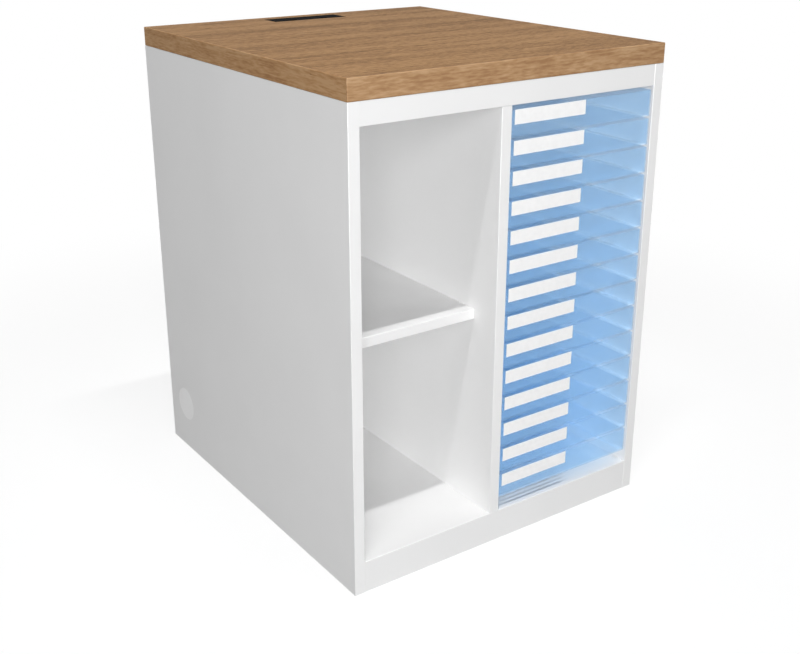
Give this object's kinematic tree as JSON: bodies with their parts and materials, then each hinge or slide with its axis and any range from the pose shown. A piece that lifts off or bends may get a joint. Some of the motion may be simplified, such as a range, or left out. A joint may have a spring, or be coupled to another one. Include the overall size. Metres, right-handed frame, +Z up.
{
  "type": "tray storage cabinet",
  "caption": "Desk-height cabinet with a wood-grain top, an open shelf bay on the left and a stack of see-through sliding trays on the right.",
  "frame": {"origin": "middle of the footprint, on the floor", "axes": "+Z up, -Y towards the front where the trays slide out, +X to the right when facing the front"},
  "size_m": [0.54, 0.6, 0.72],
  "materials": {
    "white_board": "white melamine-faced particle board, satin",
    "white_edge_band": "white ABS edge band, satin",
    "wood_grain_top": "wood-grain melamine-faced board, fine texture",
    "wood_grain_edge_band": "wood-grain ABS edge band",
    "black_plastic": "black moulded ABS, fine texture",
    "grey_plastic": "white moulded plastic",
    "white_plastic": "white extruded plastic strip",
    "zinc_plated_steel": "zinc plated",
    "dowel_wood": "fluted beech, bare",
    "blue_tray_plastic": "see-through blue polystyrene, moulded, glossy",
    "label_card": "plain white card"
  },
  "bodies": {
    "cabinet": {"left_side_panel": "white_board", "right_side_panel": "white_board", "left_side_edge_band": "white_edge_band", "right_side_edge_band": "white_edge_band", "divider_panel": "white_board", "divider_edge_band": "white_edge_band", "bottom_panel": "white_board", "plinth_board": "white_board", "front_rail": "white_board", "inner_back_panel": "white_board", "rear_panel": "white_board", "shelf_pins": "zinc_plated_steel", "tabletop_board": "wood_grain_top", "tabletop_front_band": "wood_grain_edge_band", "tabletop_rear_band": "wood_grain_edge_band", "tabletop_side_bands": "wood_grain_edge_band", "cable_cover_frame": "black_plastic", "left_runner_strips": "white_plastic", "right_runner_strips": "white_plastic", "tray_stop_rails": "white_board", "cam_locks": "zinc_plated_steel", "cam_bolts": "zinc_plated_steel", "wooden_dowels": "dowel_wood", "tabletop_brackets": "zinc_plated_steel", "bracket_screws": "zinc_plated_steel"},
    "shelf": {"shelf_board": "white_board", "shelf_edge_band": "white_edge_band"},
    "tray_01_body": {"tray_01": "blue_tray_plastic", "tray_label_01": "label_card"},
    "tray_02_body": {"tray_02": "blue_tray_plastic", "tray_label_02": "label_card"},
    "tray_03_body": {"tray_03": "blue_tray_plastic", "tray_label_03": "label_card"},
    "tray_04_body": {"tray_04": "blue_tray_plastic", "tray_label_04": "label_card"},
    "tray_05_body": {"tray_05": "blue_tray_plastic", "tray_label_05": "label_card"},
    "tray_06_body": {"tray_06": "blue_tray_plastic", "tray_label_06": "label_card"},
    "tray_07_body": {"tray_07": "blue_tray_plastic", "tray_label_07": "label_card"},
    "tray_08_body": {"tray_08": "blue_tray_plastic", "tray_label_08": "label_card"},
    "tray_09_body": {"tray_09": "blue_tray_plastic", "tray_label_09": "label_card"},
    "tray_10_body": {"tray_10": "blue_tray_plastic", "tray_label_10": "label_card"},
    "tray_11_body": {"tray_11": "blue_tray_plastic", "tray_label_11": "label_card"},
    "tray_12_body": {"tray_12": "blue_tray_plastic", "tray_label_12": "label_card"},
    "tray_13_body": {"tray_13": "blue_tray_plastic", "tray_label_13": "label_card"},
    "tray_14_body": {"tray_14": "blue_tray_plastic", "tray_label_14": "label_card"},
    "cable_lid": {"cable_cover_lid": "black_plastic"},
    "left_cap": {"left_hole_cap": "grey_plastic"},
    "right_cap": {"right_hole_cap": "grey_plastic"}
  },
  "joints": [
    {"name": "shelf_lift", "type": "slide", "parent": "cabinet", "child": "shelf", "axis": [0, 0, 1], "range_m": [0, 0.1]},
    {"name": "tray_01_slide", "type": "slide", "parent": "cabinet", "child": "tray_01_body", "axis": [0, -1, 0], "range_m": [0, 0.3]},
    {"name": "tray_02_slide", "type": "slide", "parent": "cabinet", "child": "tray_02_body", "axis": [0, -1, 0], "range_m": [0, 0.3]},
    {"name": "tray_03_slide", "type": "slide", "parent": "cabinet", "child": "tray_03_body", "axis": [0, -1, 0], "range_m": [0, 0.3]},
    {"name": "tray_04_slide", "type": "slide", "parent": "cabinet", "child": "tray_04_body", "axis": [0, -1, 0], "range_m": [0, 0.3]},
    {"name": "tray_05_slide", "type": "slide", "parent": "cabinet", "child": "tray_05_body", "axis": [0, -1, 0], "range_m": [0, 0.3]},
    {"name": "tray_06_slide", "type": "slide", "parent": "cabinet", "child": "tray_06_body", "axis": [0, -1, 0], "range_m": [0, 0.3]},
    {"name": "tray_07_slide", "type": "slide", "parent": "cabinet", "child": "tray_07_body", "axis": [0, -1, 0], "range_m": [0, 0.3]},
    {"name": "tray_08_slide", "type": "slide", "parent": "cabinet", "child": "tray_08_body", "axis": [0, -1, 0], "range_m": [0, 0.3]},
    {"name": "tray_09_slide", "type": "slide", "parent": "cabinet", "child": "tray_09_body", "axis": [0, -1, 0], "range_m": [0, 0.3]},
    {"name": "tray_10_slide", "type": "slide", "parent": "cabinet", "child": "tray_10_body", "axis": [0, -1, 0], "range_m": [0, 0.3]},
    {"name": "tray_11_slide", "type": "slide", "parent": "cabinet", "child": "tray_11_body", "axis": [0, -1, 0], "range_m": [0, 0.3]},
    {"name": "tray_12_slide", "type": "slide", "parent": "cabinet", "child": "tray_12_body", "axis": [0, -1, 0], "range_m": [0, 0.3]},
    {"name": "tray_13_slide", "type": "slide", "parent": "cabinet", "child": "tray_13_body", "axis": [0, -1, 0], "range_m": [0, 0.3]},
    {"name": "tray_14_slide", "type": "slide", "parent": "cabinet", "child": "tray_14_body", "axis": [0, -1, 0], "range_m": [0, 0.3]},
    {"name": "cable_lid_hinge", "type": "hinge", "parent": "cabinet", "child": "cable_lid", "pos_m": [0, 0.2667, 0.718], "axis": [-1, 0, 0], "range_deg": [0, 90]},
    {"name": "left_cap_pull", "type": "slide", "parent": "cabinet", "child": "left_cap", "axis": [-1, 0, 0], "range_m": [0, 0.03]},
    {"name": "right_cap_pull", "type": "slide", "parent": "cabinet", "child": "right_cap", "axis": [1, 0, 0], "range_m": [0, 0.03]}
  ]
}
